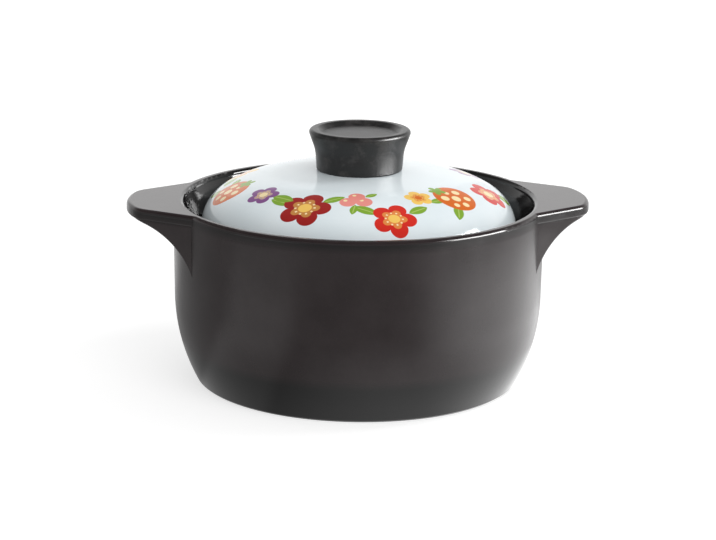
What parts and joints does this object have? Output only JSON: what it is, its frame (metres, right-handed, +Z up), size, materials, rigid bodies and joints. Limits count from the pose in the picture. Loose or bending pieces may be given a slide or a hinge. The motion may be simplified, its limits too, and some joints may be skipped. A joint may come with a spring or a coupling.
{
  "type": "lidded ceramic casserole",
  "caption": "Round ceramic casserole with two ear handles flush with its rim, and a domed lid with a flared knob that sits on a ledge inside the mouth.",
  "frame": {"origin": "centre of the pot's foot, on the surface that it stands on", "axes": "+Z up through the knob, X from ear to ear"},
  "size_m": [0.262, 0.21, 0.1432],
  "materials": {
    "pot_glaze": "satin charcoal glaze",
    "lid_glaze": "glossy bluish white glaze under a printed pattern",
    "knob_glaze": "matte black glaze"
  },
  "bodies": {
    "pot": {"pot_body": "pot_glaze", "ear_handle_left": "pot_glaze", "ear_handle_right": "pot_glaze"},
    "lid": {"lid_dome": "lid_glaze", "lid_knob": "knob_glaze"}
  },
  "joints": [
    {"name": "lid_lift", "type": "slide", "parent": "pot", "child": "lid", "axis": [0, 0, 1], "range_m": [0, 0.12]}
  ]
}
